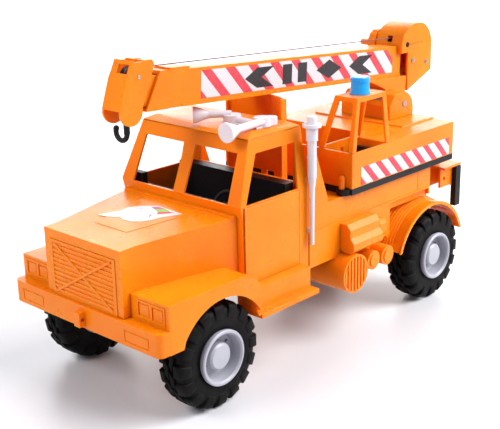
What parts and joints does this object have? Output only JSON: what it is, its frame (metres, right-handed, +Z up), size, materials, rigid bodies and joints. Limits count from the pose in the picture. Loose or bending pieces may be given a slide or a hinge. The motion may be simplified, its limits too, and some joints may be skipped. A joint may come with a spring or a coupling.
{
  "type": "toy crane truck",
  "caption": "Toy truck with a slewing crane turret, a luffing and telescoping box boom, a hand winch and a hook, on free-rolling wheels.",
  "frame": {"origin": "on the ground, in the middle of the length and the width", "axes": "+X towards the truck's left side, +Y towards its rear, +Z up"},
  "size_m": [0.181, 0.463, 0.27],
  "materials": {
    "orange_plastic": "moulded, lightly glossy",
    "black_plastic": "moulded, satin",
    "grey_plastic": "moulded, satin",
    "white_plastic": "moulded, glossy",
    "blue_plastic": "moulded, glossy",
    "tyre_plastic": "soft blow-moulded, satin",
    "steel": "plain wire",
    "label": "printed film",
    "line": "braided cord"
  },
  "bodies": {
    "truck": {"chassis": "orange_plastic", "cab_shell": "orange_plastic", "cab_roof": "orange_plastic", "door_left": "orange_plastic", "door_right": "orange_plastic", "cab_seat": "black_plastic", "hood": "orange_plastic", "grille": "orange_plastic", "front_bumper": "orange_plastic", "front_fender_left": "orange_plastic", "front_fender_right": "orange_plastic", "headlamp_left": "orange_plastic", "headlamp_right": "orange_plastic", "step_left": "orange_plastic", "step_right": "orange_plastic", "roof_horns": "white_plastic", "exhaust_stack": "white_plastic", "boom_rest": "orange_plastic", "air_tank": "orange_plastic", "battery_box": "orange_plastic", "brake_reservoirs": "orange_plastic", "rear_fender_left": "orange_plastic", "rear_fender_right": "orange_plastic", "rear_light_panel": "black_plastic", "slew_cap": "black_plastic", "hood_label": "label"},
    "front_wheelset": {"front_axle": "steel", "hub_front_left": "grey_plastic", "hub_front_right": "grey_plastic", "tyre_front_left": "tyre_plastic", "tyre_front_right": "tyre_plastic"},
    "rear_wheelset": {"rear_axle": "steel", "hub_rear_left": "grey_plastic", "hub_rear_right": "grey_plastic", "tyre_rear_left": "tyre_plastic", "tyre_rear_right": "tyre_plastic"},
    "turret": {"turret_body": "orange_plastic", "turret_skirt": "black_plastic", "lock_peg": "orange_plastic", "crane_cab": "orange_plastic", "crane_cab_seat": "black_plastic", "beacon": "blue_plastic", "boom_pedestal": "orange_plastic", "luff_pin": "steel", "turret_labels": "label"},
    "boom": {"boom_sleeve": "orange_plastic", "winch_housing": "orange_plastic", "boom_labels": "label", "boom_screws": "steel", "hoist_line": "line"},
    "extension": {"inner_boom": "orange_plastic", "boom_head": "orange_plastic", "pulley_pin": "steel", "head_line": "line"},
    "pulley": {"head_pulley": "black_plastic"},
    "winch": {"winch_drum": "black_plastic", "crank_knob": "orange_plastic"},
    "line_end": {"hook_line": "line"},
    "hook": {"hook": "black_plastic"}
  },
  "joints": [
    {"name": "front_wheels_roll", "type": "hinge", "parent": "truck", "child": "front_wheelset", "pos_m": [0, -0.16, 0.04425], "axis": [1, 0, 0], "continuous": true},
    {"name": "rear_wheels_roll", "type": "hinge", "parent": "truck", "child": "rear_wheelset", "pos_m": [0, 0.14, 0.04425], "axis": [1, 0, 0], "continuous": true},
    {"name": "turret_slew", "type": "hinge", "parent": "truck", "child": "turret", "pos_m": [0, 0.125, 0.1395], "axis": [0, 0, 1], "continuous": true},
    {"name": "boom_luff", "type": "hinge", "parent": "turret", "child": "boom", "pos_m": [0, 0.165, 0.1845], "axis": [-1, 0, 0], "range_deg": [0, 50]},
    {"name": "boom_extend", "type": "slide", "parent": "boom", "child": "extension", "axis": [0, -0.998, 0.0628], "range_m": [0, 0.13]},
    {"name": "winch_turn", "type": "hinge", "parent": "boom", "child": "winch", "pos_m": [0, 0.188, 0.239], "axis": [1, 0, 0], "range_deg": [0, 450]},
    {"name": "pulley_turn", "type": "hinge", "parent": "extension", "child": "pulley", "pos_m": [0, -0.164, 0.257], "axis": [1, 0, 0], "range_deg": [0, 450]},
    {"name": "hook_swing", "type": "hinge", "parent": "extension", "child": "line_end", "pos_m": [0, -0.1697, 0.226], "axis": [1, 0, 0], "range_deg": [0, 50]},
    {"name": "hook_lift", "type": "slide", "parent": "line_end", "child": "hook", "axis": [0, 0, -1], "range_m": [0, 0.045]}
  ],
  "couplings": [
    {"joint": "hook_lift", "follows": "winch_turn", "m_per_rad": 0.0057},
    {"joint": "pulley_turn", "follows": "winch_turn", "ratio": 1},
    {"joint": "hook_swing", "follows": "boom_luff", "ratio": 1}
  ]
}
